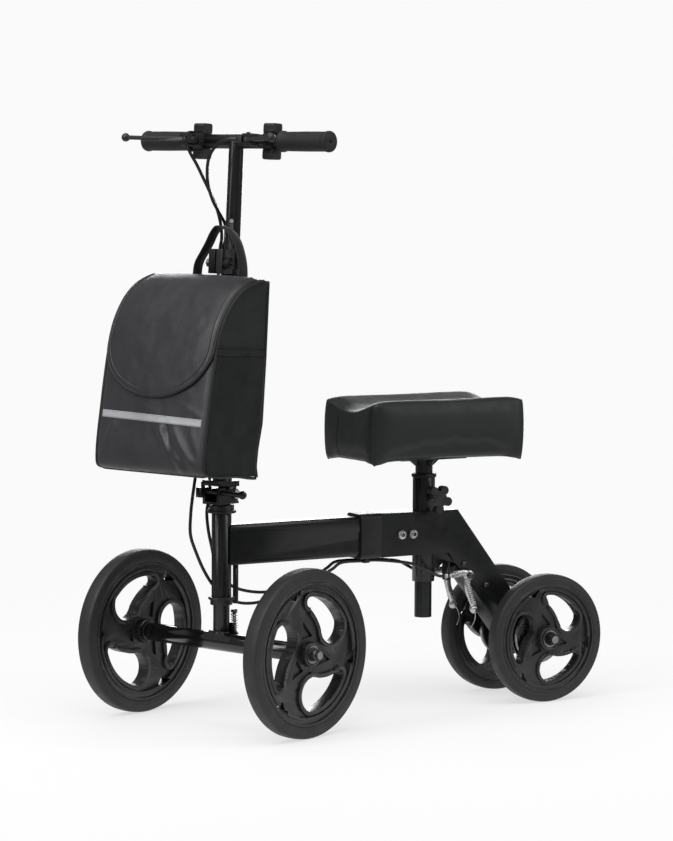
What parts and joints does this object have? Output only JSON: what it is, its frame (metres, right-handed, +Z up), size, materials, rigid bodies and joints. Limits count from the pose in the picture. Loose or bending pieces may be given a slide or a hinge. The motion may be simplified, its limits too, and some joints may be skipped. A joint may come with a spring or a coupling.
{
  "type": "knee scooter",
  "caption": "Steerable knee scooter with a padded knee rest, folding stem, front bag and hand-operated rear brakes.",
  "frame": {"origin": "on the floor, under the middle of the whole scooter", "axes": "+X forward, +Y to the rider's left, +Z up; the steering stands turned 18.4 degrees to the left at rest"},
  "size_m": [0.827, 0.424, 0.9103],
  "materials": {
    "frame_paint": "semi-gloss black powder coat",
    "axle_paint": "gloss black paint",
    "wheel_plastic": "satin moulded dark grey plastic",
    "tyre_rubber": "matt solid charcoal tyre",
    "black_plastic": "matt black moulded plastic",
    "grip_rubber": "matt black rubber",
    "bag_fabric": "coated black nylon",
    "webbing": "black woven webbing",
    "cushion_cover": "black grained leatherette",
    "bright_steel": "bright plated steel",
    "lever_metal": "satin dark grey paint",
    "bearing_steel": "ground steel",
    "cable_black": "gloss black cable housing",
    "board_wood": "plain plywood"
  },
  "bodies": {
    "frame": {"main_frame": "frame_paint", "beam_collar": "black_plastic", "rear_frame": "frame_paint", "bracket_bolts": "bright_steel", "headset_cups": "black_plastic", "seat_tube_bushing": "black_plastic", "rear_axle": "bearing_steel", "rear_axle_nuts": "frame_paint", "brake_backing_plates": "frame_paint", "cable_clip": "black_plastic", "cable_guide_bar": "frame_paint", "cable_adjusters": "bright_steel", "brake_cables_rear": "cable_black"},
    "steering": {"steering_column": "frame_paint", "front_axle_beam": "axle_paint", "front_axle": "bearing_steel", "front_axle_nuts": "bright_steel", "fold_pin": "bright_steel", "brake_cables_lower": "cable_black"},
    "latch": {"fold_latch": "frame_paint"},
    "stem": {"stem_tube": "frame_paint", "stem_clamp": "black_plastic", "clamp_skewer": "bright_steel", "bag_body": "bag_fabric", "bag_handle": "webbing", "bag_straps": "webbing", "brake_cables_stem": "cable_black"},
    "stem_lever": {"clamp_lever": "black_plastic"},
    "flap": {"bag_flap": "bag_fabric"},
    "bars": {"handlebar": "frame_paint", "post_stop_pin": "bright_steel", "grip_left": "grip_rubber", "grip_right": "grip_rubber", "lever_perch_left": "black_plastic", "lever_perch_right": "black_plastic", "brake_cables_upper": "cable_black"},
    "lever_left": {"brake_lever_left": "lever_metal"},
    "lever_right": {"brake_lever_right": "lever_metal"},
    "wheel_front_left": {"front_tyre_left": "tyre_rubber", "front_wheel_left": "wheel_plastic", "front_bearings_left": "bearing_steel"},
    "wheel_front_right": {"front_tyre_right": "tyre_rubber", "front_wheel_right": "wheel_plastic", "front_bearings_right": "bearing_steel"},
    "wheel_rear_left": {"rear_tyre_left": "tyre_rubber", "rear_wheel_left": "wheel_plastic", "rear_bearings_left": "bearing_steel", "brake_drum_left": "bearing_steel"},
    "wheel_rear_right": {"rear_tyre_right": "tyre_rubber", "rear_wheel_right": "wheel_plastic", "rear_bearings_right": "bearing_steel", "brake_drum_right": "bearing_steel"},
    "seat": {"seat_post": "frame_paint", "seat_plate": "frame_paint", "cushion_board": "board_wood", "knee_cushion": "cushion_cover"},
    "knob": {"seat_knob": "black_plastic"},
    "arm_left": {"brake_arm_left": "bright_steel"},
    "arm_right": {"brake_arm_right": "bright_steel"}
  },
  "joints": [
    {"name": "steer", "type": "hinge", "parent": "frame", "child": "steering", "pos_m": [0.23579, 0, 0.127], "axis": [0, 0, 1], "range_deg": [-63, 27], "deforming": ["brake_cables_lower"]},
    {"name": "fold", "type": "hinge", "parent": "steering", "child": "stem", "pos_m": [0.2244, -0.00379, 0.352], "axis": [-0.3156, 0.9489, 0], "range_deg": [-45, 0], "deforming": ["brake_cables_stem"]},
    {"name": "fold_latch_turn", "type": "hinge", "parent": "steering", "child": "latch", "pos_m": [0.25192, 0.00537, 0.356], "axis": [-0.3156, 0.9489, 0], "range_deg": [0, 40]},
    {"name": "clamp_lever_turn", "type": "hinge", "parent": "stem", "child": "stem_lever", "pos_m": [0.23515, 0.02508, 0.70105], "axis": [-0.3156, 0.9489, 0], "range_deg": [-120, 0]},
    {"name": "flap_open", "type": "hinge", "parent": "stem", "child": "flap", "pos_m": [0.27268, 0.01227, 0.67548], "axis": [-0.3156, 0.9489, 0], "range_deg": [-85, 0]},
    {"name": "bar_height", "type": "slide", "parent": "stem", "child": "bars", "axis": [-0.0563, -0.0187, 0.9982], "range_m": [-0.038, 0.1], "deforming": ["brake_cables_upper"]},
    {"name": "brake_lever_left_pull", "type": "hinge", "parent": "bars", "child": "lever_left", "pos_m": [0.22764, 0.06368, 0.88567], "axis": [-0.0563, -0.0187, 0.9982], "range_deg": [0, 24], "stiffness_Nm_per_rad": 0.5},
    {"name": "brake_lever_right_pull", "type": "hinge", "parent": "bars", "child": "lever_right", "pos_m": [0.26741, -0.05587, 0.88567], "axis": [0.0563, 0.0187, -0.9982], "range_deg": [0, 24], "stiffness_Nm_per_rad": 0.5},
    {"name": "front_left_roll", "type": "hinge", "parent": "steering", "child": "wheel_front_left", "pos_m": [0.18213, 0.16131, 0.127], "axis": [-0.3156, 0.9489, 0], "continuous": true},
    {"name": "front_right_roll", "type": "hinge", "parent": "steering", "child": "wheel_front_right", "pos_m": [0.28945, -0.16131, 0.127], "axis": [-0.3156, 0.9489, 0], "continuous": true},
    {"name": "rear_left_roll", "type": "hinge", "parent": "frame", "child": "wheel_rear_left", "pos_m": [-0.31221, 0.069, 0.102], "axis": [0, 1, 0], "continuous": true},
    {"name": "rear_right_roll", "type": "hinge", "parent": "frame", "child": "wheel_rear_right", "pos_m": [-0.31221, -0.069, 0.102], "axis": [0, 1, 0], "continuous": true},
    {"name": "seat_height", "type": "slide", "parent": "frame", "child": "seat", "axis": [0, 0, 1], "range_m": [-0.01, 0.1]},
    {"name": "seat_knob_turn", "type": "hinge", "parent": "frame", "child": "knob", "pos_m": [-0.12621, 0.04, 0.33], "axis": [0, 1, 0], "continuous": true},
    {"name": "brake_arm_left_pull", "type": "hinge", "parent": "frame", "child": "arm_left", "pos_m": [-0.19421, 0.027, 0.204], "axis": [0, 1, 0], "range_deg": [0, 12]},
    {"name": "brake_arm_right_pull", "type": "hinge", "parent": "frame", "child": "arm_right", "pos_m": [-0.19421, -0.027, 0.204], "axis": [0, 1, 0], "range_deg": [0, 12]}
  ],
  "couplings": [
    {"joint": "brake_arm_left_pull", "follows": "brake_lever_left_pull", "ratio": 0.5},
    {"joint": "brake_arm_right_pull", "follows": "brake_lever_right_pull", "ratio": 0.5}
  ]
}
